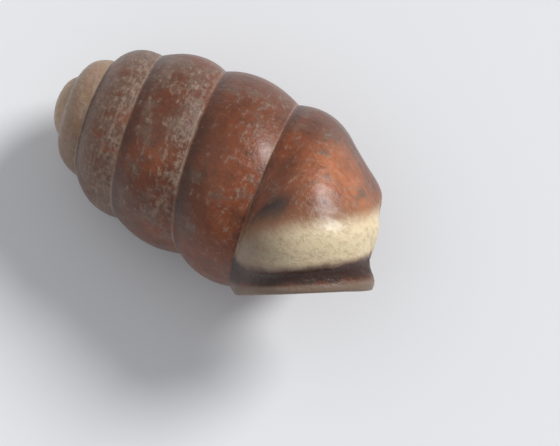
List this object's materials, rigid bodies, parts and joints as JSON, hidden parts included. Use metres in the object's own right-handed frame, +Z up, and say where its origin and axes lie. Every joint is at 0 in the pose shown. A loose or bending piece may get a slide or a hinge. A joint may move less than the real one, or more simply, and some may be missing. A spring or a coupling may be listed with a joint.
{
  "type": "land snail shell",
  "caption": "Empty shell of a small land snail: a barrel-shaped right-hand spiral with rounded whorls, a thickened pale band behind the lip and an open oblique mouth.",
  "frame": {"origin": "centre of the bounding box on the ground, under the shell lying on its side", "axes": "+X along the shell from the tip toward the mouth end, +Z up"},
  "size_m": [0.0032, 0.0018, 0.002],
  "materials": {
    "shell": "glossy, slightly translucent red-brown shell with a cream band behind the lip and grey-white worn patches"
  },
  "bodies": {
    "root": {"shell": "shell"}
  },
  "joints": []
}
